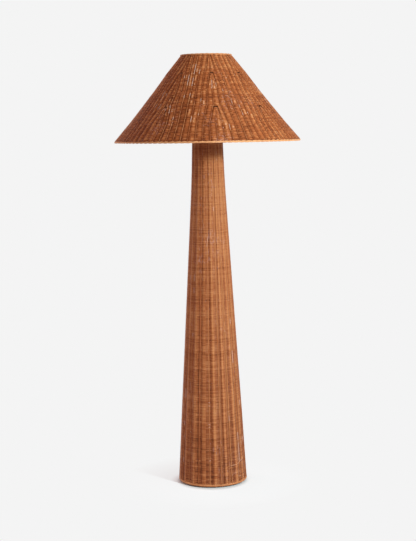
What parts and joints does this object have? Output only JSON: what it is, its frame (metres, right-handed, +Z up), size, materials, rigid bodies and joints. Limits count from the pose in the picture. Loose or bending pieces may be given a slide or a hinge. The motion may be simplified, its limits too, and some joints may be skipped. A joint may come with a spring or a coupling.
{
  "type": "floor lamp",
  "caption": "Floor lamp with a tall tapered woven rattan column, a hidden weighted base and a wide woven rattan cone shade that lifts off its harp.",
  "frame": {"origin": "centre of the lamp on the floor, under the glides", "axes": "+Z up along the column, front towards -Y, +X to the right seen from the front"},
  "size_m": [0.6354, 0.6354, 1.475],
  "materials": {
    "rattan": "woven rattan, satin lacquer",
    "rattan_light": "rolled and wrapped rattan border, satin lacquer",
    "plywood": "raw plywood",
    "dark_wood": "stained, satin",
    "frame_wire": "dark painted steel wire",
    "iron": "rough, painted",
    "steel": "zinc plated",
    "brass": "antique brass",
    "rubber": "matte",
    "phenolic": "moulded, satin",
    "card": "insulating card",
    "cap_metal": "rolled screw cap",
    "opal_glass": "opal, unlit"
  },
  "bodies": {
    "stand": {"column_weave": "rattan", "column_foot_binding": "rattan_light", "column_top_binding": "rattan_light", "column_rib_1": "frame_wire", "column_rib_2": "frame_wire", "column_rib_3": "frame_wire", "column_rib_4": "frame_wire", "column_rib_5": "frame_wire", "column_rib_6": "frame_wire", "column_hoop_1": "frame_wire", "column_hoop_2": "frame_wire", "column_hoop_3": "frame_wire", "column_hoop_4": "frame_wire", "base_board": "plywood", "base_weight": "iron", "weight_nut": "steel", "base_washer": "steel", "base_nut": "steel", "glide_1": "rubber", "glide_2": "rubber", "glide_3": "rubber", "glide_4": "rubber", "lamp_pipe": "steel", "cord_bush": "rubber", "top_disc": "dark_wood", "top_washer": "steel", "top_nut": "steel", "top_cap": "brass", "neck": "brass", "harp_saddle": "brass", "socket_cup": "brass", "socket_shell": "brass", "socket_liner": "card", "socket_body": "phenolic", "socket_screw_shell": "brass"},
    "switch": {"switch_knob": "phenolic"},
    "bulb": {"bulb_cap": "cap_metal", "bulb_glass": "opal_glass"},
    "harp": {"harp": "brass"},
    "sleeve_left": {"sleeve_left": "brass"},
    "sleeve_right": {"sleeve_right": "brass"},
    "shade": {"shade_weave": "rattan", "shade_top_binding": "rattan_light", "shade_foot_binding": "rattan_light", "shade_rib_1": "frame_wire", "shade_rib_2": "frame_wire", "shade_rib_3": "frame_wire", "shade_rib_4": "frame_wire", "shade_rib_5": "frame_wire", "shade_rib_6": "frame_wire", "shade_rib_7": "frame_wire", "shade_rib_8": "frame_wire", "shade_top_hoop": "frame_wire", "shade_foot_hoop": "frame_wire", "spider": "frame_wire"},
    "finial": {"finial": "brass"}
  },
  "joints": [
    {"name": "switch_turn", "type": "hinge", "parent": "stand", "child": "switch", "pos_m": [0, -0.03, 1.2677], "axis": [0, -1, 0], "continuous": true},
    {"name": "bulb_turn", "type": "hinge", "parent": "stand", "child": "bulb", "pos_m": [0, 0, 1.2746], "axis": [0, 0, 1], "continuous": true},
    {"name": "harp_lift", "type": "slide", "parent": "stand", "child": "harp", "axis": [0, 0, 1], "range_m": [0, 0.16]},
    {"name": "sleeve_left_lift", "type": "slide", "parent": "harp", "child": "sleeve_left", "axis": [0, 0, 1], "range_m": [0, 0.0125]},
    {"name": "sleeve_right_lift", "type": "slide", "parent": "harp", "child": "sleeve_right", "axis": [0, 0, 1], "range_m": [0, 0.0125]},
    {"name": "shade_lift", "type": "slide", "parent": "harp", "child": "shade", "axis": [0, 0, 1], "range_m": [0, 0.3]},
    {"name": "finial_turn", "type": "hinge", "parent": "shade", "child": "finial", "pos_m": [0, 0, 1.4513], "axis": [0, 0, 1], "continuous": true}
  ]
}
